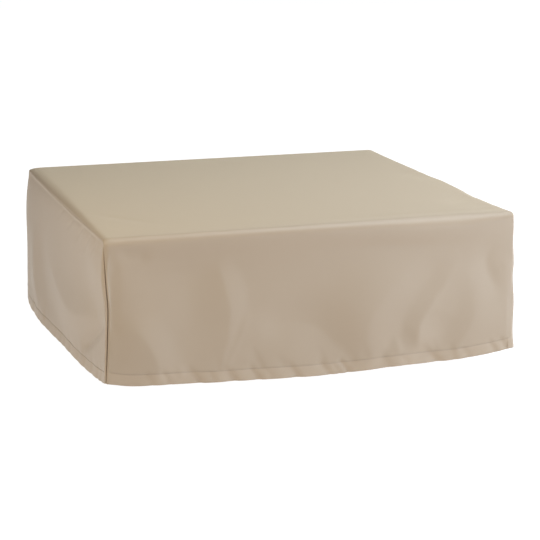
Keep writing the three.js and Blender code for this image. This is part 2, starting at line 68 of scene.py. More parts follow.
def put_in_scene(name, data):
    thing = bpy.data.objects.new(name, data)
    bpy.context.collection.objects.link(thing)
    return thing


def stand_camera():
    camera = put_in_scene("camera", bpy.data.cameras.new("camera"))
    camera.data.sensor_width = sensor_width
    camera.data.lens = sensor_width * focal_length_in_pixels / picture_width
    camera.data.clip_end = camera_reach
    camera.location = camera_place
    camera.rotation_euler = (math.pi / 2 - camera_tilt, 0.0, camera_turn)
    bpy.context.scene.camera = camera
    return camera


camera = stand_camera()
print("The lens is", round(camera.data.lens, 1), "mm")

# %% [markdown]
# ## The studio
#
# A pale floor runs far back, so that no horizon shows. Lamps alone would light it unevenly, so
# it glows by itself, a little more the farther it is. A white wall far behind, above the edge of
# the picture, is there to be mirrored: the satin coating of the top shows it as a faint sheen.
# Two lamps hang high on the right, one towards the front of the top and one towards its back.
# Two lower ones graze the front from the right, so each fold has a light right side and a
# darker left one. A weak lamp stands low in front, and one on the left lights the left end and
# the roll of cloth above it. The room itself gives next to no light.

# %% Lay the floor
floor_height = -0.3685
floor_size = 80.0
floor_grey = 0.20
floor_roughness = 0.9
floor_glow_near, floor_glow_far = 0.98, 1.0
glow_starts, glow_whole = 0.8, 3.6
white = (1.0, 1.0, 1.0, 1.0)


def lay_floor():
    bpy.ops.object.select_all(action="DESELECT")
    bpy.ops.mesh.primitive_plane_add(size=floor_size, location=(0.0, 0.0, floor_height))
    floor = bpy.context.object
    floor.name = "studio_floor"
    paint = bpy.data.materials.new("studio_floor")
    paint.use_nodes = True
    nodes, links = paint.node_tree.nodes, paint.node_tree.links
    shader = nodes["Principled BSDF"]
    shader.inputs["Base Color"].default_value = (floor_grey, floor_grey, floor_grey, 1.0)
    shader.inputs["Roughness"].default_value = floor_roughness
    shader.inputs["Emission Color"].default_value = white
    places = nodes.new("ShaderNodeTexCoord")
    distance = nodes.new("ShaderNodeVectorMath")
    distance.operation = "LENGTH"
    glow = nodes.new("ShaderNodeMapRange")
    glow.interpolation_type = "SMOOTHSTEP"
    glow_sizes = (glow_starts, glow_whole, floor_glow_near, floor_glow_far)
    for socket, value in zip(("From Min", "From Max", "To Min", "To Max"), glow_sizes):
        glow.inputs[socket].default_value = value
    links.new(places.outputs["Object"], distance.inputs[0])
    links.new(distance.outputs["Value"], glow.inputs["Value"])
    links.new(glow.outputs["Result"], shader.inputs["Emission Strength"])
    floor.data.materials.append(paint)


lay_floor()
print("Floor laid at", floor_height, "m")

# %% Hang the lamps, raise the white wall and dim the room
light_aims_at = Vector((0.0, -0.1, -0.1))
window_light, low_light = (0.77, 0.89, 1.0), (0.62, 0.78, 1.0)
left_light, wall_light = (1.0, 0.98, 0.82), (1.0, 0.93, 0.68)
wall_away, wall_aside = 9.0, 5.3
wall_wide, wall_low, wall_high = 10.0, -0.2, 4.0
wall_glow = 1.6
room_light = 0.02


def area_light(name, shape, power, tint):
    light = put_in_scene(name, bpy.data.lights.new(name, "AREA"))
    light.data.shape = shape
    light.data.energy = power
    light.data.color = tint
    return light


def hang_lamp(name, place, across, power, tint):
    lamp = area_light(name, "DISK", power, tint)
    lamp.data.size = across
    lamp.location = place
    lamp.rotation_euler = (light_aims_at - Vector(place)).to_track_quat("-Z", "Y").to_euler()


def raise_white_wall():
    power = math.pi * wall_wide * (wall_high - wall_low) * wall_glow
    wall = area_light("white_wall", "RECTANGLE", power, wall_light)
    wall.data.size = wall_wide
    wall.data.size_y = wall_high - wall_low
    wall.location = (wall_aside, wall_away, (wall_low + wall_high) / 2)
    wall.rotation_euler = Vector((0.0, 1.0, 0.0)).to_track_quat("Z", "Y").to_euler()


def dim_room(strength):
    world = bpy.data.worlds.new("white_room")
    world.use_nodes = True
    background = world.node_tree.nodes["Background"]
    background.inputs["Color"].default_value = white
    background.inputs["Strength"].default_value = strength
    bpy.context.scene.world = world


dim_room(room_light)
raise_white_wall()
hang_lamp("high_key", (0.9, -0.8, 2.4), 1.2, 46.0, window_light)
hang_lamp("back_key", (0.9, 0.6, 2.0), 1.2, 13.0, window_light)
hang_lamp("soft_side", (1.7, -0.4, 0.9), 1.0, 19.0, window_light)
hang_lamp("low_side", (1.9, -1.2, 0.1), 1.0, 32.0, low_light)
hang_lamp("front_fill", (0.8, -2.4, 0.1), 1.0, 8.6, window_light)
hang_lamp("left_key", (-1.4, -0.9, 1.2), 1.0, 20.0, left_light)
bpy.context.scene.view_settings.view_transform = "Standard"
print("Lights:", sorted(light.name for light in bpy.data.lights))

# %% [markdown]
# ## Sizes of the cover
#
# The sizes are in millimetres, as on a maker's pattern, and become metres only when a mesh is
# made. Each upright face has a short table: how deep the hem hangs at a place along the face,
# and how far the cloth stands out half way down and at the hem. Smooth curves run through the
# rows, because cloth has no corners between its folds.

# %% Driving sizes
MM = 0.001
cover_width = 980.0
cover_depth = 943.0
half_width = cover_width / 2
half_depth = cover_depth / 2
top_of_cover = 1.8
cloth = 1.2
hem_height = 27.0
bend_radius = 16.0
fold_radius = 2.3
top_fold_radius = 1.2
allowance = 12.0
seam_gap = 0.3
seam_mouth = 1.2
hem_turn = cloth + 0.15
print("The cover is", cover_width, "by", cover_depth, "mm")


# %% How each face hangs
def table(columns, *rows):
    """A list of rows that are read by the names of their columns."""
    return [dict(zip(columns.split(), row)) for row in rows]


front_drape = table(
    "along drop middle hem",
    (0, 327, 1, 5),
    (50, 336, 4, 5),
    (110, 339, 3, 4),
    (200, 345, -2, -1),
    (290, 349, -2, -1),
    (420, 353, -2, 1),
    (520, 355, -1, -1),
    (620, 351, 2, 0),
    (700, 348, 0, -2),
    (770, 348, -2, 0),
    (830, 346, -1, -1),
    (890, 341, 1, 2),
    (940, 335, 1, 5),
    (980, 328, 2, 6),
)
back_drape = table(
    "along drop middle hem",
    (0, 338, 4, 8),
    (90, 347, 7, 13),
    (260, 352, 3, 8),
    (430, 357, 5, 14),
    (600, 355, 2, 7),
    (780, 350, 5, 12),
    (900, 343, 3, 10),
    (980, 331, 3, 7),
)
left_drape = table(
    "along drop middle hem",
    (0, 328, 0, 7),
    (70, 339, 1, 7),
    (155, 347, 2, 8),
    (240, 353, 3, 10),
    (455, 358, 7, 16),
    (610, 360, 12, 23),
    (810, 358, 19, 26),
    (885, 352, 18, 22),
    (943, 338, 9, 12),
)
right_drape = table(
    "along drop middle hem",
    (0, 327, 4, 9),
    (80, 341, 5, 12),
    (240, 351, 9, 17),
    (420, 356, 12, 15),
    (610, 358, 8, 19),
    (790, 352, 7, 14),
    (943, 331, 3, 8),
)
print("The front hem hangs", max(row["drop"] for row in front_drape), "mm down at most")

# %% How softly the long panel bends over the front edge of the top
front_bend = table(
    "along radius",
    (0, 18),
    (110, 17),
    (420, 18),
    (640, 21),
    (770, 27),
    (860, 28),
    (930, 21),
    (980, 14),
)
print("The front edge bends with a radius of up to", max(row["radius"] for row in front_bend), "mm")

# %% How each corner seam is turned, by the distance down from the top
front_left_corner = table(
    "down edge lip turn",
    (16, 0, 0, 90),
    (24, -0.2, 2.2, 54),
    (40, -0.6, 3.2, 40),
    (62, -1.5, 4.0, 34),
    (107, -3.6, 5, 28),
    (155, -6.5, 5.9, 22),
    (209, -4.5, 5.8, 22),
    (285, -0.4, 4.6, 32),
    (328, 2.6, 2.6, 60),
)
front_right_corner = table(
    "down edge lip turn",
    (16, 0, 0, 90),
    (36, 0.5, 1.6, 62),
    (80, -0.5, 3.4, 42),
    (120, 1, 4.2, 34),
    (155, -1.5, 4.6, 30),
    (215, 2.5, 4.6, 30),
    (285, 2, 4.2, 32),
    (328, 6, 4, 34),
)
back_left_corner = table(
    "down edge lip turn",
    (16, 0, 0, 90),
    (36, 2, 1.6, 62),
    (80, 5, 3, 42),
    (130, 6, 3.8, 34),
    (210, 5, 4, 32),
    (338, 8, 4, 34),
)
back_right_corner = table(
    "down edge lip turn",
    (16, 0, 0, 90),
    (36, 0, 1.6, 62),
    (80, -1, 3, 42),
    (130, -2, 3.8, 34),
    (210, 0, 4, 32),
    (331, 4, 4, 34),
)
print("The front left corner stands out by up to", max(row["lip"] for row in front_left_corner), "mm")

# %% How each end of the top rolls over, by the distance back from the front
left_roll = table(
    "along roll_out roll_down",
    (0, 14, 5),
    (130, 16, 6),
    (370, 20, 10.5),
    (570, 26, 10.5),
    (770, 32, 8.5),
    (943, 34, 6.5),
)
right_roll = table(
    "along roll_out roll_down",
    (0, 4, 3.5),
    (70, 11, 6),
    (190, 20, 9),
    (330, 9, 6),
    (450, 4, 4),
    (580, 11, 7),
    (760, 16, 9),
    (943, 16, 6),
)
corner_roll = 3.2
corner_roll_reach = 70.0
fold_grows = 14.0
print("The left end rolls over by up to", max(row["roll_out"] for row in left_roll), "mm")


# %% A smooth curve through one column of a table
def read_table(rows, place_column, value_column, place):
    places = np.array([row[place_column] for row in rows], float)
    values = np.array([row[value_column] for row in rows], float)
    slopes = np.empty_like(values)
    slopes[1:-1] = (values[2:] - values[:-2]) / (places[2:] - places[:-2])
    slopes[0] = (values[1] - values[0]) / (places[1] - places[0])
    slopes[-1] = (values[-1] - values[-2]) / (places[-1] - places[-2])
    place = np.asarray(place, float)
    row = np.clip(np.searchsorted(places, place, side="right") - 1, 0, len(rows) - 2)
    span = places[row + 1] - places[row]
    share = np.clip((place - places[row]) / span, 0.0, 1.0)
    rest = 1 - share
    return (
        values[row] * (1 + 2 * share) * rest**2
        + values[row + 1] * share**2 * (3 - 2 * share)
        + slopes[row] * span * share * rest**2
        - slopes[row + 1] * span * share**2 * rest
    )


def ease(value, start, end):
    share = np.clip((np.asarray(value, float) - start) / (end - start), 0.0, 1.0)
    return share * share * (3 - 2 * share)


print("In its middle it hangs", round(float(read_table(front_drape, "along", "drop", half_width)), 1), "mm")

# %% [markdown]
# ## The folds
#
# A coated cloth buckles into broad, flat facets with soft ridges between them. A cloth
# simulation would find folds of its own, and this cover has to hang in the folds that the real
# one shows, so each ridge or hollow is drawn as a chalk line on the cloth. A point of the line
# has five numbers: its place along the face and down from the top, how far the cloth rises
# there, or sinks if that is below nought, and how far its two sides spread. On a line that runs
# down, the first spread is towards the start of the face. A small spread makes that side steep.
# The crease says how round the ridge is, the foot how softly its sides run out, and starts how
# far below the edge of the top it takes to grow. The line is smoothed into a curve, and every
# point of the cloth is lifted by its distance from that curve.

# %% Draw a fold with chalk
blending = 5.0
side_blending = 2.0
usual_crease = 5.0
usual_foot = 0.3
folds_start = 56.0


def smooth_line(points, pieces=12):
    points = np.array(points, float)
    before = np.vstack([2 * points[0] - points[1], points, 2 * points[-1] - points[-2]])
    line = []
    for start in range(len(points) - 1):
        a, b, c, d = before[start:start + 4]
        for step in range(pieces):
            t = step / pieces
            line.append(0.5 * (2 * b + (c - a) * t + (2 * a - 5 * b + 4 * c - d) * t**2
                               + (3 * b - a - 3 * c + d) * t**3))
    line.append(points[-1])
    return np.array(line)


def chalk(*points, crease=usual_crease, foot=usual_foot, starts=folds_start):
    return dict(line=smooth_line(points), crease=crease, foot=foot, starts=starts)


print("A chalk line of two points is drawn with", len(smooth_line([(0, 0), (1, 1)])))


# %% Lift the cloth beside a chalk line
def fold_lift(fold, along, down):
    line, crease, foot = fold["line"], fold["crease"], fold["foot"]
    starts, runs = line[:-1], np.diff(line, axis=0)
    lengths = np.hypot(runs[:, 0], runs[:, 1])
    off_along = along[..., None] - starts[:, 0]
    off_down = down[..., None] - starts[:, 1]
    share = np.clip((off_along * runs[:, 0] + off_down * runs[:, 1]) / lengths**2, 0.0, 1.0)
    far = np.hypot(off_along - share * runs[:, 0], off_down - share * runs[:, 1])
    nearness = np.exp((far.min(axis=-1, keepdims=True) - far) / blending)
    nearness /= nearness.sum(axis=-1, keepdims=True)
    distance = (far * nearness).sum(axis=-1)
    aside = ((runs[:, 1] * off_along - runs[:, 0] * off_down) / lengths * nearness).sum(axis=-1)
    rise, left, right = [
        ((starts[:, column] + share * runs[:, column]) * nearness).sum(axis=-1) for column in (2, 3, 4)
    ]
    lean = 0.5 + 0.5 * np.clip(aside / (distance + side_blending), -1.0, 1.0)
    reach = left + (right - left) * lean
    inside = 1.0 - (np.sqrt(distance**2 + crease**2) - crease) / reach
    return rise * (inside + np.sqrt(inside**2 + foot**2)) / (1.0 + math.sqrt(1.0 + foot**2))


def all_folds(folds, along, down, top=-math.inf):
    along, down = np.broadcast_arrays(np.asarray(along, float), np.asarray(down, float))
    total = np.zeros(along.shape)
    for fold in folds:
        total += fold_lift(fold, along, down) * ease(down - top, 0.0, fold["starts"])
    return total


ridge = chalk((50, 0, 8, 30, 30), (50, 300, 8, 30, 30))
print("A ridge of 8 mm lifts its line by", round(float(all_folds([ridge], 50, 150)), 1), "mm")

# %% The folds of the front, as they lie on the cloth
front_folds = [
    chalk((20, 84, 0, 80, 64), (110, 84, -6.2, 100, 70), (230, 92, -8.0, 110, 74), (330, 94, -5.2, 110, 76),
          (480, 90, -5.2, 110, 72), (620, 78, -8.4, 100, 56), (710, 72, -8.0, 90, 50),
          (800, 72, -3.6, 80, 52), (880, 70, -1.6, 70, 50), (950, 66, 0, 60, 40), crease=14, starts=40),
    chalk((48, 38, -3.0, 20, 22), (84, 44, -3.2, 20, 22), starts=12),
    chalk((6, 42, -1.2, 14, 16), (22, 66, -1.6, 14, 16), crease=4, starts=12),
    chalk((12, 84, -2.2, 22, 24), (8, 130, -2.6, 22, 24), (6, 200, -2.0, 22, 24)),
    chalk((18, 206, 0, 70, 50), (66, 216, 6, 84, 52), (96, 250, 8, 88, 52), (112, 290, 8, 84, 50),
          (118, 324, 7, 80, 50)),
    chalk((250, 60, 0, 74, 36), (262, 92, 4.6, 74, 38), (274, 130, 6.2, 76, 46), (283, 172, 6.4, 80, 44),
          (284, 205, 6, 92, 36), (279, 250, 5.6, 112, 22), (268, 286, 5.2, 120, 16),
          (258, 324, 4.8, 112, 14), foot=0.2),
    chalk((334, 186, 0, 8, 50), (320, 226, 2.4, 8, 60), (302, 268, 2.8, 8, 60), (282, 316, 2.4, 8, 50),
          crease=3, foot=0.2),
    chalk((360, 246, 0, 64, 60), (400, 226, -5, 66, 64), (446, 220, -6.6, 68, 74), (494, 238, -7.2, 68, 80),
          (545, 288, -6.6, 62, 66), (574, 324, -5.6, 52, 52)),
    chalk((826, 50, 0, 150, 90), (744, 96, 4.5, 140, 100), (680, 146, 7.5, 140, 112),
          (636, 204, 8.5, 130, 108), (615, 250, 8.5, 120, 100), (610, 290, 7.5, 110, 84),
          (614, 326, 6, 100, 76), crease=12),
    chalk((850, 84, 0, 36, 60), (832, 116, 1.6, 36, 60), (812, 150, 3.4, 36, 60), (776, 200, 6, 38, 64),
          (746, 248, 8, 38, 66), (740, 284, 9, 38, 60), (742, 304, 5, 36, 54), (744, 324, 0.5, 34, 50),
          foot=0.2),
    chalk((862, 104, 0, 60, 60), (868, 150, 2, 90, 84), (877, 200, 4.8, 105, 92), (881, 238, 6.5, 105, 92),
          (864, 280, 6.5, 64, 66), (848, 304, 6, 40, 56), (836, 330, 5, 24, 50), foot=0.6),
    chalk((686, 276, 0, 10, 26), (690, 294, 3.6, 16, 34), (694, 310, 6.4, 44, 44), (698, 332, 7.4, 60, 50),
          crease=2, foot=0.2),
    chalk((938, 60, 0, 40, 22), (912, 104, -2.6, 44, 22), (922, 150, -3.0, 44, 22), (956, 196, 0, 30, 20)),
    chalk((950, 112, 0, 4, 16), (960, 128, 1.4, 4, 18), (968, 140, 0, 4, 16), crease=2),
    chalk((334, 266, 0, 22, 8), (345, 292, -1.8, 24, 8), (360, 324, -2.2, 24, 8), crease=3),
    chalk((556, 284, 0, 16, 10), (582, 320, -1.6, 20, 10), crease=3),
    chalk((600, 280, 0, 16, 12), (612, 318, -2.0, 18, 12), crease=3),
    chalk((776, 290, 0, 14, 8), (788, 320, -2.0, 16, 8), crease=3),
    chalk((496, 288, 0, 12, 8), (510, 322, -2.0, 16, 8), crease=3),
    chalk((392, 292, 0, 14, 9), (412, 322, -1.8, 18, 9), crease=3),
    chalk((250, 284, 0, 14, 10), (256, 318, -1.8, 16, 10), crease=3),
    chalk((160, 290, 0, 10, 14), (170, 320, 2.0, 10, 14), crease=3),
    chalk((936, 290, 0, 10, 7), (944, 308, -1.4, 12, 7), crease=2),
]
print(len(front_folds), "folds on the front")

# %% The folds of the other three sides
left_folds = [
    chalk((660, 150, 0, 100, 70), (520, 205, 8, 110, 80), (400, 236, 12, 120, 84), (290, 238, 12, 120, 80),
          (190, 216, 9, 90, 60), (80, 186, 0, 70, 50), crease=10),
    chalk((244, 308, 0, 26, 18), (186, 286, -7.5, 28, 19), (108, 244, -9.5, 28, 20),
          (48, 212, -7.5, 24, 18), (6, 188, 0, 20, 16), crease=2),
    chalk((790, 110, 0, 70, 60), (776, 190, 6, 80, 60), (752, 262, 7, 90, 60), (690, 320, 5, 80, 60),
          crease=10),
    chalk((190, 66, 0, 50, 80), (90, 78, 4, 56, 96), (16, 92, 4, 56, 90), crease=10, starts=30),
    chalk((60, 6, -2.0, 10, 6), (104, 40, -2.2, 11, 7), (150, 70, 0, 9, 7), crease=2, starts=3),
    chalk((128, 6, -2.2, 11, 6), (176, 42, -2.4, 12, 7), (230, 76, 0, 10, 7), crease=2, starts=3),
    chalk((206, 6, -2.0, 10, 6), (262, 40, -2.2, 11, 7), (310, 66, 0, 9, 7), crease=2, starts=3),
    chalk((310, 6, -2.2, 11, 6), (366, 38, -2.2, 12, 7), (410, 60, 0, 10, 7), crease=2, starts=3),
    chalk((430, 6, -2.0, 10, 6), (482, 34, -2.0, 11, 7), (530, 56, 0, 9, 7), crease=2, starts=3),
]
right_folds = [
    chalk((120, 50, 0, 60, 50), (170, 190, 7.0, 64, 56), (215, 330, 6.0, 60, 50)),
    chalk((420, 70, 0, 60, 60), (400, 210, -5.0, 66, 66), (380, 345, -6.0, 66, 66), crease=12),
    chalk((560, 80, 0, 60, 60), (590, 210, 6.0, 66, 60), (600, 345, 7.0, 60, 60)),
    chalk((850, 50, 0, 60, 50), (800, 190, 6.0, 70, 50), (730, 330, 5.0, 60, 50)),
]
back_folds = [
    chalk((120, 50, 0, 60, 60), (190, 180, 8.0, 66, 60), (270, 310, 6.0, 60, 50)),
    chalk((430, 90, 0, 50, 50), (405, 220, -6.0, 60, 60), (400, 340, -6.0, 60, 60), crease=12),
    chalk((560, 80, 0, 50, 50), (575, 210, 6.5, 56, 50), (590, 345, 6.0, 56, 50)),
    chalk((860, 50, 0, 60, 50), (800, 180, 8.0, 70, 50), (715, 320, 7.0, 60, 50)),
    chalk((905, 130, 0, 40, 40), (880, 230, -4.0, 40, 40), (850, 335, -4.0, 40, 40)),
]
print(len(left_folds), "folds on the left,", len(right_folds), "right and", len(back_folds), "behind")

# %% The creases of the top, by their distance from the left end and from the back edge
top_fold_margin = 20.0
top_fold_fade = 0.03
top_folds = [
    chalk((985, 352, 0, 20, 16), (950, 374, -1.6, 22, 18), (924, 400, -1.4, 22, 18), (908, 424, 0, 20, 16),
          crease=4),
    chalk((960, 380, 0, 40, 40), (956, 440, -1.8, 44, 44), (960, 510, 0, 40, 40), crease=10),
    chalk((990, 648, 0, 20, 18), (944, 694, -2.0, 22, 18), (902, 738, -1.6, 22, 18), (866, 776, 0, 18, 16),
          crease=4),
    chalk((990, 684, 0, 20, 18), (950, 728, -2.4, 22, 20), (914, 766, -2.0, 22, 20), (876, 804, 0, 18, 16),
          crease=4),
    chalk((980, 812, 0, 26, 26), (940, 838, -1.2, 26, 26), (890, 862, 0, 26, 26), crease=6),
    chalk((20, 640, 0, 20, 20), (60, 700, -0.8, 20, 20), (120, 780, -0.8, 20, 20), (160, 830, 0, 20, 20),
          crease=5),
    chalk((430, 884, 0, 16, 16), (700, 888, -0.7, 18, 18), (950, 886, -0.7, 18, 18), crease=6),
]
print(len(top_folds), "creases on the top")

# %% [markdown]
# ## The hem's own folds
#
# A turned-up hem never lies quite flat. The two layers slip on each other while they are sewn,
# so the hem twists into short slanting ridges, and the stitching draws small puckers into the
# cloth above it. Their chalk lines are measured from the stitching: below it is in the hem, and
# above it is less than nought.

# %% Twists of the front hem, each by its upper and its lower end
hem_crease = 2
front_hem_twists = [
    ((86, -2, -1.6, 16, 7), (102, 27, -2.7, 16, 7)),
    ((126, -2, -1.9, 16, 7), (142, 27, -3.0, 16, 7)),
    ((192, -3, -2.4, 26, 8), (214, 27, -5.4, 26, 8)),
    ((236, 2, -1.4, 10, 6), (246, 22, -1.9, 10, 6)),
    ((274, -3, -2.7, 24, 8), (298, 27, -5.4, 22, 8)),
    ((334, -3, -2.7, 22, 8), (353, 27, -5.4, 22, 8)),
    ((372, 4, -1.2, 10, 6), (384, 22, -1.6, 10, 6)),
    ((427, -3, -2.7, 28, 8), (447, 27, -5.7, 26, 8)),
    ((500, -3, -2.7, 22, 8), (528, 27, -4.1, 18, 8)),
    ((536, 6, -2.2, 9, 6), (550, 27, -3.2, 9, 6)),
    ((550, -4, -3.2, 10, 7), (572, 27, -5.1, 10, 7)),
    ((654, -2, -1.4, 36, 9), (669, 27, -2.6, 36, 9)),
    ((694, 0, -1.6, 12, 7), (716, 22, -1.9, 12, 7)),
    ((766, -2, -4.1, 40, 9), (796, 27, -6.8, 36, 9)),
    ((826, -6, -1.4, 20, 7), (837, 27, -3.2, 20, 7)),
    ((856, 2, -1.6, 14, 7), (872, 24, -2.2, 14, 7)),
    ((924, -3, -2.2, 16, 7), (938, 22, -3.0, 14, 7)),
    ((951, -5, -2.2, 11, 6), (967, 22, -3.0, 11, 6)),
]
front_hem_folds = [chalk(*ends, crease=hem_crease) for ends in front_hem_twists]
print(len(front_hem_folds), "twists in the front hem")

# %% The other hems are twisted in the same way, at uneven places that stay the same each time
first_twist, next_twist = (30, 60), (36, 92)
twist_lean, twist_sink = (10, 30), (1.0, 2.2)
bare_end = 40
puckers_share = 0.6
pucker_aside, pucker_height = (-6, 18), (20, 46)
pucker_crease = 3


def uneven_hem_folds(length, seed):
    chance = np.random.default_rng(seed)
    folds = []
    along = chance.uniform(*first_twist)
    while along < length - bare_end:
        lean = chance.uniform(*twist_lean)
        sink = -chance.uniform(*twist_sink)
        upper, lower = (along, -4, 0.8 * sink, 22, 8), (along + lean, hem_height, sink, 22, 8)
        folds.append(chalk(upper, lower, crease=hem_crease))
        if chance.random() < puckers_share:
            start = along + chance.uniform(*pucker_aside)
            above = chance.uniform(*pucker_height)
            upper, lower = (start, -above, 0, 14, 9), (start + 0.4 * above, -2, 0.8 * sink, 18, 9)
            folds.append(chalk(upper, lower, crease=pucker_crease))
        along += chance.uniform(*next_twist)
    return folds


left_hem_folds = uneven_hem_folds(cover_depth, seed=11)
right_hem_folds = uneven_hem_folds(cover_depth, seed=12)
back_hem_folds = uneven_hem_folds(cover_width, seed=13)
print(len(back_hem_folds), "twists and puckers in the back hem")

# %% Where the cloth of a face stands, and how deep its hem hangs
fold_fade_at_edge = 16.0
stitch_sinks = 0.5
stitch_spread = 1.6
hem_flare = 0.4
faces = {
    "front": dict(drape=front_drape, folds=front_folds, hem_folds=front_hem_folds, length=cover_width),
    "back": dict(drape=back_drape, folds=back_folds, hem_folds=back_hem_folds, length=cover_width),
    "left": dict(drape=left_drape, folds=left_folds, hem_folds=left_hem_folds, length=cover_depth),
    "right": dict(drape=right_drape, folds=right_folds, hem_folds=right_hem_folds, length=cover_depth),
}


def hem_drop(face, along):
    return read_table(faces[face]["drape"], "along", "drop", along)


def bend_of(face, along):
    if face == "front":
        return read_table(front_bend, "along", "radius", along)
    return np.full_like(np.asarray(along, float), bend_radius)


def stand_out(face, along, down):
    rows = faces[face]["drape"]
    along, down = np.broadcast_arrays(np.asarray(along, float), np.asarray(down, float))
    drop, middle, hem = [read_table(rows, "along", column, along) for column in ("drop", "middle", "hem")]
    radius = bend_of(face, along)
    share = np.clip((down - radius) / (drop - radius), 0.0, 1.0)
    drape = share * (4 * middle - hem) + share**2 * (2 * hem - 4 * middle)
    edge_fade = ease(np.minimum(along, faces[face]["length"] - along), 0.0, fold_fade_at_edge)
    below = down - (drop - hem_height)
    folds = all_folds(faces[face]["folds"], along, down, radius)
    folds += all_folds(faces[face]["hem_folds"], along, below)
    folds += hem_flare * np.clip(below / hem_height, 0.0, 1.0)
    groove = -stitch_sinks * np.exp(-((below / stitch_spread) ** 2))
    return drape + folds * edge_fade + groove


print("In its middle the front stands out by", round(float(stand_out("front", half_width, 200)), 1), "mm")

# %% [markdown]
# ## The lines across the long panel
#
# The long panel is laid out in lines from the front hem to the back hem. A line lies on an
# upright face, on the soft bend at the edge of the top, or on the top. On a face its depth is a
# share of the way down to the stitching, so that every line runs with the hem, and in the hem
# it is a distance below the stitching. The hem is the cloth itself, turned up on the inside, so
# the lines go on round its lower edge, by an angle called its wrap, and up again behind the face.

# %% Rows of a face, and of the flap that is turned up behind it
rows_above_hem = 54
near_stitching = [-4.0, -1.8, 0.0, 1.8, 4.0, 8.0, 12.0, 16.0, 20.0, 23.5, hem_height - hem_turn]
flap_heights = [7.0, 14.0, 21.0, 28.0, 33.0]
flap_starts, flap_whole = 5.0, 18.0


def hem_row(below, wrap=0.0):
    return dict(share=1.0, below=below, wrap=wrap)


def turned_row(degrees):
    wrap = math.radians(degrees)
    return hem_row(hem_height - hem_turn + hem_turn * math.sin(wrap), wrap)


def face_rows(count):
    rows = [dict(share=share, below=0.0, wrap=0.0) for share in np.linspace(0, 1, count, endpoint=False)]
    return rows + [hem_row(below) for below in near_stitching] + [turned_row(45), turned_row(90)]


def flap_rows():
    rows = [turned_row(135), turned_row(180)]
    return rows + [hem_row(hem_height - hem_turn - height, math.pi) for height in flap_heights]


def depth_of(row, face, along):
    radius = bend_of(face, along)
    return radius + row["share"] * (hem_drop(face, along) - hem_height - radius) + row["below"]


def wrap_inward(row, along, length):
    whole = ease(np.minimum(along, length - along), flap_starts, flap_whole)
    return hem_turn * (1 - math.cos(row["wrap"])) * whole


stitch_row = len(flap_rows()) + len(face_rows(0)) - 1 - near_stitching.index(0.0)
print("The stitching is row", stitch_row, "from the inner end of the hem")

# %% Stations, one for each line
bend_steps = 8


def face_stations(face, rows):
    side = -1 if face == "front" else 1
    return [dict(kind="face", face=face, side=side, row=row) for row in rows]


def bend_stations(side, steps):
    return [dict(kind="bend", side=side, angle=step / bend_steps * math.pi / 2) for step in steps]


def make_stations(front_rows, top_rows, back_rows):
    stations = face_stations("front", reversed(front_rows)) + bend_stations(-1, range(1, bend_steps))
    stations += [dict(kind="top", share=share) for share in np.linspace(0, 1, top_rows + 1)]
    return stations + bend_stations(1, range(bend_steps - 1, 0, -1)) + face_stations("back", back_rows)


print("A bend has", len(bend_stations(1, range(1, bend_steps))), "lines between the top and its face")


# %% The outer place of the long panel on a line, and the way that it faces
def top_place(share, along):
    front = bend_of("front", along)
    return front - half_depth + share * (2 * half_depth - bend_radius - front)


def strip_places(station, x):
    x = np.asarray(x, float)
    along = np.clip(x + half_width, 0.0, cover_width)
    if station["kind"] == "top":
        y = top_place(station["share"], along)
        flat_along = np.clip(along, top_fold_margin, cover_width - top_fold_margin)
        lift = all_folds(top_folds, flat_along, half_depth - y)
        lift *= ease(min(station["share"], 1 - station["share"]), 0.0, top_fold_fade)
        return np.stack([x, y, top_of_cover + lift], -1)
    if station["kind"] == "bend":
        radius = bend_of("front" if station["side"] < 0 else "back", along)
        y = half_depth - radius + radius * math.cos(station["angle"])
        z = top_of_cover - radius + radius * math.sin(station["angle"])
        return np.stack([x, station["side"] * y, z], -1)
    down = depth_of(station["row"], station["face"], along)
    out = stand_out(station["face"], along, down) - wrap_inward(station["row"], along, cover_width)
    return np.stack([x, station["side"] * (half_depth + out), top_of_cover - down], -1)


def outward_of(station):
    if station["kind"] == "top":
        return np.array([0.0, 0.0, 1.0])
    if station["kind"] == "bend":
        return np.array([0.0, station["side"] * math.cos(station["angle"]), math.sin(station["angle"])])
    return np.array([0.0, float(station["side"]), 0.0])


print("The top starts", round(float(top_place(0.0, half_width)) + half_depth, 1), "mm behind the front")

# %% [markdown]
# ## The seams
#
# At both ends of a line the long panel rolls over and turns in, and the end panel turns in
# beside it, a hair apart. On the top the seam lies just under the edge. At the corners it runs
# down with a dark mouth between the two cloths, because each stands a little proud there.

# %% Sizes of the seam on a line, at the left end, -1, or at the right end, 1
corners = {
    ("front", -1): front_left_corner,
    ("front", 1): front_right_corner,
    ("back", -1): back_left_corner,
    ("back", 1): back_right_corner,
}


def seam_sizes(station, end):
    roll = left_roll if end < 0 else right_roll
    end_along = 0.0 if end < 0 else cover_width
    if station["kind"] == "top":
        back_from_front = float(top_place(station["share"], end_along)) + half_depth
    else:
        back_from_front = 0.0 if station["side"] < 0 else cover_depth
    roll_out, roll_down = [
        float(read_table(roll, "along", column, back_from_front)) for column in ("roll_out", "roll_down")
    ]
    if station["kind"] != "face":
        return dict(edge=0.0, lip=0.0, turn=math.pi / 2, fold=top_fold_radius,
                    roll_out=roll_out, roll_down=roll_down)
    down = float(depth_of(station["row"], station["face"], end_along))
    corner = corners[station["face"], end]
    edge, lip, turn = [float(read_table(corner, "down", column, down)) for column in ("edge", "lip", "turn")]
    grown = float(ease(down, bend_radius, bend_radius + fold_grows))
    fade = float(ease(down, bend_radius, bend_radius + corner_roll_reach))
    return dict(edge=edge, lip=lip, turn=math.radians(turn),
                fold=top_fold_radius + (fold_radius - top_fold_radius) * grown,
                roll_out=roll_out + (corner_roll - roll_out) * fade,
                roll_down=roll_down + (corner_roll - roll_down) * fade)


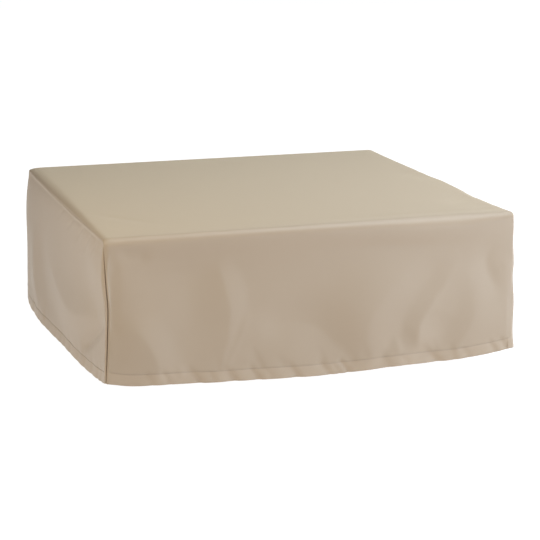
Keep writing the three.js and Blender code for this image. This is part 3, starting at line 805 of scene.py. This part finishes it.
first_top_line = seam_sizes(dict(kind="top", share=0.0), -1)
print("The left roll starts", round(first_top_line["roll_out"], 1), "mm wide")

# %% Section of a seam, as distances in from the edge and down from the face
roll_steps = 7
turn_steps = 4
allowance_places = [4.0, 8.0, allowance]
hidden_columns = turn_steps + len(allowance_places)


def strip_edge_section(sizes):
    roll_out, roll_down, fold, turn = [sizes[name] for name in ("roll_out", "roll_down", "fold", "turn")]
    points = []
    for step in range(1, roll_steps + 1):
        angle = step / roll_steps * math.pi / 2
        points.append((roll_out * (1 - math.sin(angle)), roll_down * (1 - math.cos(angle))))
    for step in range(1, turn_steps + 1):
        angle = turn * step / turn_steps
        points.append((fold * (1 - math.cos(angle)), roll_down + fold * math.sin(angle)))
    turned_in, turned_down = points[-1]
    for depth in allowance_places:
        points.append((turned_in + depth * math.sin(turn), turned_down + depth * math.cos(turn)))
    return points


def end_edge_section(sizes):
    roll_down, fold, turn, lip = [sizes[name] for name in ("roll_down", "fold", "turn", "lip")]
    sine, cosine = math.sin(turn), math.cos(turn)
    mouth = seam_gap + cosine * seam_mouth
    turned_in = fold * (1 - cosine)
    turned_down = roll_down + fold * sine
    sideways = cosine * (-lip + fold * (1 + cosine) - turned_in)
    centre_down = turned_down + fold * sine + (mouth + sideways) / sine
    centre_in = fold - lip
    points = [(-lip, centre_down)]
    steps = turn_steps + 2
    for step in range(1, steps + 1):
        angle = (math.pi - turn) * step / steps
        points.append((centre_in - fold * math.cos(angle), centre_down - fold * math.sin(angle)))
    for depth in allowance_places:
        points.append((turned_in + depth * sine - seam_gap * cosine,
                       turned_down + depth * cosine + seam_gap * sine))
    return points


def seam_places(station, end, sizes, section):
    edge_place = strip_places(station, end * (half_width + sizes["edge"]))
    inward, down = np.array(section, float).T
    places = edge_place - down[:, None] * outward_of(station)
    places[:, 0] -= end * inward
    return places


print("A seam has", len(strip_edge_section(first_top_line)), "places on the long panel's side")

# %% [markdown]
# ## From places to cloth
#
# A sheet is made as a grid of places on its outer side, joined by four-sided faces. Solidify
# then gives it its thickness on the inner side. The weave has to follow the threads, so each
# place also keeps where it was on the flat cut cloth, in metres, as its UV. A second number is
# painted shade, how much darker the cloth is coloured there: near a seam, the stitching or the
# lower edge of the hem, for the shade in their grooves and turns, and wherever it is single,
# for the dark inside that shows through it a little.


# %% Join the places of a grid into a sheet of cloth
crisp_angle = math.radians(50)


def steps_between(places):
    return np.concatenate([[0.0], np.cumsum(np.linalg.norm(np.diff(places, axis=0), axis=1))])


def number_places(kept):
    index = np.full(kept.shape, -1)
    index[kept] = np.arange(kept.sum())
    return index


def grid_faces(index):
    a, b = index[:-1, :-1], index[:-1, 1:]
    c, d = index[1:, 1:], index[1:, :-1]
    whole = (a >= 0) & (b >= 0) & (c >= 0) & (d >= 0)
    return np.stack([a, b, c, d], -1)[whole]


def choose_only(piece):
    bpy.ops.object.select_all(action="DESELECT")
    piece.select_set(True)
    bpy.context.view_layer.objects.active = piece


def make_sheet(name, places, sheet_faces, plan, painted_shade):
    mesh = bpy.data.meshes.new(name)
    mesh.from_pydata((places * MM).tolist(), [], sheet_faces.tolist())
    corner_places = np.zeros(len(mesh.loops), int)
    mesh.loops.foreach_get("vertex_index", corner_places)
    mesh.uv_layers.new(name="cut_cloth").data.foreach_set("uv", (plan[corner_places] * MM).ravel())
    # Each place carries its painted shade, how much darker the cloth is coloured there.
    mesh.attributes.new("painted_shade", "FLOAT", "POINT").data.foreach_set("value", painted_shade)
    sheet = put_in_scene(name, mesh)
    choose_only(sheet)
    wall = sheet.modifiers.new("thickness", "SOLIDIFY")
    wall.thickness = cloth * MM
    wall.offset = -1.0
    bpy.ops.object.modifier_apply(modifier=wall.name)
    bpy.ops.object.shade_smooth_by_angle(angle=crisp_angle)
    print(name, "has", len(sheet.data.polygons), "faces")
    return sheet


# %% Painted shade: how much darker the cloth is on a row, and near a seam
# Painted shade: single cloth is coloured darker than the doubled hem, for the dark inside that shows through
# it.
single_cloth_painted_shade = 0.32
# Painted shade along the lower edge of the hem, where the cloth turns under.
hem_edge_shade, hem_edge_shade_spread = 0.9, 1.6
# Painted shade along the stitching, where the thread draws the cloth into a groove.
stitch_shade, stitch_shade_spread = 0.15, 2.0
# Painted shade along the seams, in the groove between the two cloths.
seam_shade, seam_shade_spread = 0.3, 1.4
height_above_hem = 300.0


def shade_falloff(distance, spread):
    return np.exp(-((np.asarray(distance, float) / spread) ** 2))


def both_shades(first, second):
    return 1 - (1 - first) * (1 - second)


def row_painted_shade(row):
    above_stitching = (1.0 - row["share"]) * height_above_hem
    from_edge = hem_height - row["below"] + above_stitching
    from_stitching = row["below"] + above_stitching
    single = single_cloth_painted_shade if row["below"] < 0 or row["share"] < 1 else 0.0
    darkened = max(hem_edge_shade * float(shade_falloff(from_edge, hem_edge_shade_spread)),
               stitch_shade * float(shade_falloff(from_stitching, stitch_shade_spread)))
    return both_shades(darkened, single)


print("At its lower edge the hem is worn by", round(row_painted_shade(hem_row(hem_height)), 2))

# %% [markdown]
# ## The long panel
#
# It is one strip, from the front hem over the top to the back hem. A flat strip could be dropped
# over a block by simulation, but here its lines are placed one by one, with the folds that are
# already drawn, and joined in turn. The turned-up part of the hem stops short of the corner
# seams, where a maker trims it to keep the corner thin.

# %% Hang the long panel
columns_across = 186
rows_along_top = 80
rows_on_back = 34
trimmed_columns = 2


def long_panel_line(station):
    left_sizes, right_sizes = seam_sizes(station, -1), seam_sizes(station, 1)
    left = seam_places(station, -1, left_sizes, strip_edge_section(left_sizes))[::-1]
    right = seam_places(station, 1, right_sizes, strip_edge_section(right_sizes))
    left_x = -half_width - left_sizes["edge"] + left_sizes["roll_out"]
    right_x = half_width + right_sizes["edge"] - right_sizes["roll_out"]
    middle_x = np.linspace(left_x, right_x, columns_across + 1)
    middle = strip_places(station, middle_x)
    left_over = steps_between(np.vstack([left, middle[:1]]))
    right_over = steps_between(np.vstack([middle[-1:], right]))
    across = np.concatenate([left_x - left_over[-1] + left_over[:-1], middle_x, right_x + right_over[1:]])
    # Painted shade: darker near the seams and on each row.
    from_seam = np.minimum(abs(across - across[hidden_columns - 1]), abs(across - across[-hidden_columns]))
    in_row = row_painted_shade(station["row"]) if station["kind"] == "face" else single_cloth_painted_shade
    painted_shade = both_shades(seam_shade * shade_falloff(from_seam, seam_shade_spread), in_row)
    return np.vstack([left, middle, right]), across, painted_shade


def hang_long_panel():
    flaps = flap_rows()
    stations = face_stations("front", reversed(flaps))
    stations += make_stations(face_rows(rows_above_hem), rows_along_top, face_rows(rows_on_back))
    stations += face_stations("back", flaps)
    lines, across, painted_shade = [np.array(part) for part in zip(*map(long_panel_line, stations))]
    sewn_in = roll_steps + hidden_columns
    bare = sewn_in + trimmed_columns
    kept = np.ones(across.shape, bool)
    for flap in (slice(None, len(flaps)), slice(-len(flaps), None)):
        kept[flap, :bare] = kept[flap, -bare:] = False
    down_the_middle = steps_between(lines[:, lines.shape[1] // 2])
    plan = np.stack([across, np.repeat(down_the_middle[:, None], lines.shape[1], 1)], -1)
    panel = make_sheet("long_panel", lines[kept], grid_faces(number_places(kept)), plan[kept], painted_shade[kept])
    middle_line = across[len(across) // 2]
    cut = (middle_line[-1] - middle_line[0], down_the_middle[-1])
    stitched = lines[:, sewn_in:-sewn_in]
    return panel, cut, stitched[stitch_row], stitched[-1 - stitch_row]


long_panel, long_panel_cut, front_stitch_line, back_stitch_line = hang_long_panel()
print("The long panel was cut", [round(side) for side in long_panel_cut], "mm across and along")

# %% [markdown]
# ## The end panels
#
# An end panel is a curtain between the two corner seams. Its places are spread evenly between
# the seams, the top and the hem, and then stood out by its folds, so it meets the long panel at
# every line of the seam. The turned-in edge is a narrow strip that goes round three sides: up
# the front corner, along the top and down the back one.


# %% Spread the places of the curtain, in rows from the hem up and columns from front to back
def panel_grid(face, end, rows, ring, flap_edges, corner):
    front = np.vstack([flap_edges[0], ring[: corner + 1]])
    back = np.vstack([flap_edges[1], ring[::-1][: corner + 1]])
    top = ring[corner : len(ring) - corner]
    hem_edge = len(flap_edges[0])
    low = np.arange(len(top)) / (len(top) - 1)
    high = (top[:, 1] - top[0, 1]) / (top[-1, 1] - top[0, 1])
    up = (front[:, 2] - front[hem_edge, 2]) / (front[-1, 2] - front[hem_edge, 2])
    blend = low + (high - low) * np.clip(up, 0, 1)[:, None]

    def between(in_front, behind):
        return in_front[:, None] + (behind - in_front)[:, None] * blend

    def share_down(side, edge_along):
        edge_down = top_of_cover - side[-1, 2]
        stitched_down = float(hem_drop(face, edge_along)) - hem_height
        return (top_of_cover - side[:, 2] - edge_down) / (stitched_down - edge_down)

    y = between(front[:, 1], back[:, 1])
    along = np.clip(y + half_depth, 0.0, cover_depth)
    stitched = hem_drop(face, along) - hem_height
    top_down = (top_of_cover - top[:, 2])[None, :]
    share = between(share_down(front, 0.0), share_down(back, cover_depth))
    below = np.array([row["below"] for row in rows])[:, None]
    in_hem = np.array([row["share"] == 1.0 for row in rows])[:, None]
    down = np.where(in_hem, stitched + below, top_down + share * (stitched - top_down))
    out = stand_out(face, along, down)
    out -= stand_out(face, 0.0, down) * (1 - blend) + stand_out(face, cover_depth, down) * blend
    out -= np.array([wrap_inward(row, places, cover_depth) for row, places in zip(rows, along)])
    x = between(front[:, 0], back[:, 0]) + end * out
    return np.stack([x, y, top_of_cover - down], -1)


print("An end panel is", cover_depth, "mm wide between its corners")


# %% Join the turned-in strip to the rim of the curtain, and measure how near each place is to it
def end_seam(station, end):
    sizes = seam_sizes(station, end)
    return seam_places(station, end, sizes, end_edge_section(sizes))


def number_strip(index, rings, hem_edge):
    numbers = np.full(rings.shape[:2], -1)
    numbers[:, 0] = np.concatenate([index[hem_edge:, 0], index[-1, 1:-1], index[hem_edge:, -1][::-1]])
    numbers[:, 1:] = index.max() + 1 + np.arange(rings[:, 1:, 0].size).reshape(len(rings), -1)
    return numbers


def strip_faces(numbers):
    here, following = numbers[:-1], numbers[1:]
    return np.stack([here[:, 1:], here[:, :-1], following[:, :-1], following[:, 1:]], -1).reshape(-1, 4)


def distance_to_rim(grid):
    from_front, from_back = grid[..., 1] - grid[:, :1, 1], grid[:, -1:, 1] - grid[..., 1]
    return np.minimum(np.minimum(from_front, from_back), grid[-1:, :, 2] - grid[..., 2])


print("The strip is turned in by", allowance, "mm")

# %% Hang the end panels
columns_on_end = 150


def hang_end_panel(name, face, end):
    face_lines, flaps = face_rows(rows_above_hem), flap_rows()
    stations = make_stations(face_lines, columns_on_end, face_lines)
    rings = np.array([end_seam(station, end) for station in stations])
    flap_edges = [
        np.array([end_seam(station, end)[0] for station in face_stations(side, reversed(flaps))])
        for side in ("front", "back")
    ]
    half_bend = bend_steps // 2
    corner = len(face_lines) - 1 + half_bend
    rows = flaps[::-1] + face_lines[::-1] + [dict(share=0.0, below=0.0, wrap=0.0)] * half_bend
    grid = panel_grid(face, end, rows, rings[:, 0], flap_edges, corner)
    hem_edge = len(flaps)
    grid[hem_edge:, 0] = rings[: corner + 1, 0]
    grid[hem_edge:, -1] = rings[::-1][: corner + 1, 0]
    grid[-1] = rings[corner : len(rings) - corner, 0]

    kept = np.ones(grid.shape[:2], bool)
    kept[:hem_edge, :trimmed_columns] = kept[:hem_edge, -trimmed_columns:] = False
    index = number_places(kept)
    sheet_faces = np.vstack([grid_faces(index), strip_faces(number_strip(index, rings, hem_edge))])
    if end < 0:
        sheet_faces = sheet_faces[:, ::-1]

    ring_steps = np.array([steps_between(ring)[1:] for ring in rings])
    ways = np.array([outward_of(station) for station in stations])
    ring_plan = rings[:, :1, 1:] + ring_steps[..., None] * ways[:, None, 1:]
    # Painted shade: darker near the seam at the rim and on each row, as on the long panel.
    in_row = np.array([row_painted_shade(row) for row in rows])[:, None]
    grid_shade = both_shades(seam_shade * shade_falloff(distance_to_rim(grid), seam_shade_spread), in_row)
    ring_shade = seam_shade * shade_falloff(ring_steps, seam_shade_spread)
    places = np.vstack([grid[kept], rings[:, 1:].reshape(-1, 3)])
    plan = np.vstack([grid[kept][:, 1:], ring_plan.reshape(-1, 2)])
    painted_shade = np.concatenate([grid_shade[kept], ring_shade.ravel()])
    panel = make_sheet(name, places, sheet_faces, plan, painted_shade)
    deepest = max(row["drop"] for row in faces[face]["drape"])
    cut = (cover_depth + 2 * allowance, deepest + allowance + flap_heights[-1])
    return panel, cut, grid[stitch_row]


left_panel, left_panel_cut, left_stitch_line = hang_end_panel("left_end_panel", "left", -1)
right_panel, right_panel_cut, right_stitch_line = hang_end_panel("right_end_panel", "right", 1)
print("An end panel was cut", [round(side) for side in left_panel_cut], "mm across and down")

# %% [markdown]
# ## The stitching
#
# A row of lockstitches holds the turned-up hem. From a step away it is a fine dotted line, a
# little darker than the cloth. The thread is coloured darker than real thread: partly its own
# colour, partly painted shade of the needle holes that it sinks into. The stitching could be
# painted on, but thread stands on the cloth and catches the light. Each stitch is a small arch of
# thread that dips into the cloth at both ends, and its faces are worked out once and then
# repeated along the line, outside and inside.

# %% Work out one stitch
thread_radius = 0.5
thread_sides = 6
stitch_arch = table(
    "share lift size",
    (0.0, -0.4, 0.45),
    (0.22, 0.15, 0.95),
    (0.5, 0.32, 1.0),
    (0.78, 0.15, 0.95),
    (1.0, -0.4, 0.45),
)


def stitch_rings(start, end, outward):
    along = (end - start) / np.linalg.norm(end - start)
    across = np.cross(outward, along)
    turns = np.arange(thread_sides) / thread_sides * 2 * math.pi
    round_it = np.cos(turns)[:, None] * across + np.sin(turns)[:, None] * outward
    rings = []
    for ring in stitch_arch:
        middle = start + (end - start) * ring["share"] + outward * ring["lift"]
        rings.append(middle + round_it * thread_radius * ring["size"])
    return np.vstack(rings)


def stitch_faces():
    ring = list(range(thread_sides))
    stitch = []
    for low in range(0, (len(stitch_arch) - 1) * thread_sides, thread_sides):
        high = low + thread_sides
        stitch += [[low + a, low + b, high + b, high + a] for a, b in zip(ring, ring[1:] + ring[:1])]
    return stitch + [ring[::-1], [high + a for a in ring]]


print("One stitch has", len(stitch_faces()), "faces")

# %% Sew the hems
stitch_pitch = 5.0
stitch_length = 2.6
sewing_starts, sewing_stops = 6.0, 8.0
behind_the_hem = 2 * hem_turn


def sew(face, line, outward):
    outward = np.array(outward)
    reach = steps_between(line)
    starts = np.arange(sewing_starts, reach[-1] - sewing_stops, stitch_pitch)

    def on_line(where):
        return np.stack([np.interp(where, reach, line[:, axis]) for axis in range(3)], -1)

    stitches = []
    for inward, facing in ((0.0, 1.0), (behind_the_hem, -1.0)):
        for start, end in zip(on_line(starts), on_line(starts + stitch_length)):
            shift = -outward * inward
            stitches.append(stitch_rings(start + shift, end + shift, outward * facing))
    thread_faces = []
    for first in range(0, len(stitches) * len(stitches[0]), len(stitches[0])):
        thread_faces += [[first + place for place in stitch_face] for stitch_face in stitch_faces()]
    name = f"{face}_hem_stitching"
    mesh = bpy.data.meshes.new(name)
    mesh.from_pydata((np.vstack(stitches) * MM).tolist(), [], thread_faces)
    thread = put_in_scene(name, mesh)
    choose_only(thread)
    bpy.ops.object.mode_set(mode="EDIT")
    bpy.ops.mesh.select_all(action="SELECT")
    bpy.ops.mesh.normals_make_consistent(inside=False)
    bpy.ops.object.mode_set(mode="OBJECT")
    bpy.ops.object.shade_smooth()
    return thread


threads = {
    "front": sew("front", front_stitch_line, (0.0, -1.0, 0.0)),
    "back": sew("back", back_stitch_line, (0.0, 1.0, 0.0)),
    "left": sew("left", left_stitch_line, (-1.0, 0.0, 0.0)),
    "right": sew("right", right_stitch_line, (1.0, 0.0, 0.0)),
}
print("Each hem has about", round(cover_width / stitch_pitch), "stitches")

# %% [markdown]
# ## The cloth
#
# It is a close plain weave in a warm sand colour, with a thin satin coating. The weave could be
# an image, but a pattern worked out on the cut cloth stays sharp and follows the threads round
# every fold: two sines of the UV are multiplied, which lifts every second crossing as a plain
# weave does. Broad, faint clouds keep the colour from being flat, a fine grain breaks the
# weave's evenness, and the darker number of each place mixes in a browner colour as painted
# shade.

# %% Small helpers that make one node each
cloth_colour = (0.433, 0.313, 0.210, 1.0)
cloud_colour = (0.414, 0.298, 0.199, 1.0)
# A browner colour, mixed into the cloth as painted shade and into the thread as the tone of its fibres.
shade_and_fibre_colour = (0.290, 0.218, 0.150, 1.0)
# The thread is darker than real thread: partly its own colour, partly painted shade of its needle holes.
thread_and_hole_shade_colour = (0.125, 0.082, 0.050, 1.0)


def finish_named(name, roughness):
    finish = bpy.data.materials.new(name)
    finish.use_nodes = True
    shader = finish.node_tree.nodes["Principled BSDF"]
    shader.inputs["Roughness"].default_value = roughness
    return finish, finish.node_tree, shader


def set_or_link(tree, socket, value):
    if isinstance(value, bpy.types.NodeSocket):
        tree.links.new(value, socket)
    else:
        socket.default_value = value


def math_node(tree, operation, *values):
    node = tree.nodes.new("ShaderNodeMath")
    node.operation = operation
    for socket, value in zip(node.inputs, values):
        set_or_link(tree, socket, value)
    return node.outputs[0]


def noise_node(tree, places, scale, detail):
    node = tree.nodes.new("ShaderNodeTexNoise")
    node.inputs["Scale"].default_value = scale
    node.inputs["Detail"].default_value = detail
    tree.links.new(places, node.inputs["Vector"])
    return node.outputs["Fac"]


def mixed_colour(tree, share, first, second):
    node = tree.nodes.new("ShaderNodeMix")
    node.data_type = "RGBA"
    for socket, value in ((0, share), (6, first), (7, second)):
        set_or_link(tree, node.inputs[socket], value)
    return node.outputs[2]


print("The cloth's colour is", cloth_colour[:3])

# %% Make the cloth
cloth_roughness, cloth_specular = 0.5, 0.5
sheen_weight, sheen_roughness = 0.12, 0.5
thread_pitch = 0.0011
cloud_scale, cloud_detail = 9.0, 5.0
grain_scale, grain_detail, grain_height = 420.0, 2.0, 0.8
weave_strength, weave_height = 0.25, 0.0001
painted_shade_share = 0.55


def make_cloth_finish():
    finish, tree, shader = finish_named("sand_cloth", cloth_roughness)
    shader.inputs["Specular IOR Level"].default_value = cloth_specular
    shader.inputs["Sheen Weight"].default_value = sheen_weight
    shader.inputs["Sheen Roughness"].default_value = sheen_roughness
    uv = tree.nodes.new("ShaderNodeUVMap")
    uv.uv_map = "cut_cloth"
    split = tree.nodes.new("ShaderNodeSeparateXYZ")
    tree.links.new(uv.outputs["UV"], split.inputs[0])
    turns = 2 * math.pi / thread_pitch
    warp = math_node(tree, "SINE", math_node(tree, "MULTIPLY", split.outputs[0], turns))
    weft = math_node(tree, "SINE", math_node(tree, "MULTIPLY", split.outputs[1], turns))
    weave = math_node(tree, "MULTIPLY", warp, weft)
    clouds = noise_node(tree, uv.outputs["UV"], cloud_scale, cloud_detail)
    grain = noise_node(tree, uv.outputs["UV"], grain_scale, grain_detail)
    # The darker number of each place mixes in the browner colour as painted shade.
    painted_shade = tree.nodes.new("ShaderNodeAttribute")
    painted_shade.attribute_name = "painted_shade"
    darkened = math_node(tree, "MULTIPLY", painted_shade.outputs["Fac"], painted_shade_share)
    clean = mixed_colour(tree, clouds, cloth_colour, cloud_colour)
    tree.links.new(mixed_colour(tree, darkened, clean, shade_and_fibre_colour), shader.inputs["Base Color"])
    bump = tree.nodes.new("ShaderNodeBump")
    bump.inputs["Strength"].default_value = weave_strength
    bump.inputs["Distance"].default_value = weave_height
    height = math_node(tree, "ADD", weave, math_node(tree, "MULTIPLY", grain, grain_height))
    tree.links.new(height, bump.inputs["Height"])
    tree.links.new(bump.outputs["Normal"], shader.inputs["Normal"])
    return finish


cloth_finish = make_cloth_finish()
for panel in (long_panel, left_panel, right_panel):
    panel.data.materials.append(cloth_finish)
print("The cloth's finish has", len(cloth_finish.node_tree.nodes), "nodes")

# %% Make the thread
thread_roughness = 0.7
fibre_scale, fibre_detail = 900.0, 2.0


def make_thread_finish():
    finish, tree, shader = finish_named("sand_thread", thread_roughness)
    places = tree.nodes.new("ShaderNodeTexCoord")
    fibre = noise_node(tree, places.outputs["Object"], fibre_scale, fibre_detail)
    # The thread's colour carries painted shade of its needle holes.
    tree.links.new(mixed_colour(tree, fibre, thread_and_hole_shade_colour, shade_and_fibre_colour), shader.inputs["Base Color"])
    return finish


thread_finish = make_thread_finish()
for thread in threads.values():
    thread.data.materials.append(thread_finish)
print("The thread's finish has", len(thread_finish.node_tree.nodes), "nodes")

# %% [markdown]
# ## Hang every piece on the body
#
# Every piece rides on the one body of the cover, and the solids that the cloth stands for are
# hidden. The long panel is draped, and the end panels hang from it.

# %% Tell the frame
for piece in (long_panel, left_panel, right_panel, *threads.values()):
    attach(piece, "root")
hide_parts("body_panel")
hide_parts("end_panel_left")
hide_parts("end_panel_right")
print("Pieces:", 3 + len(threads))
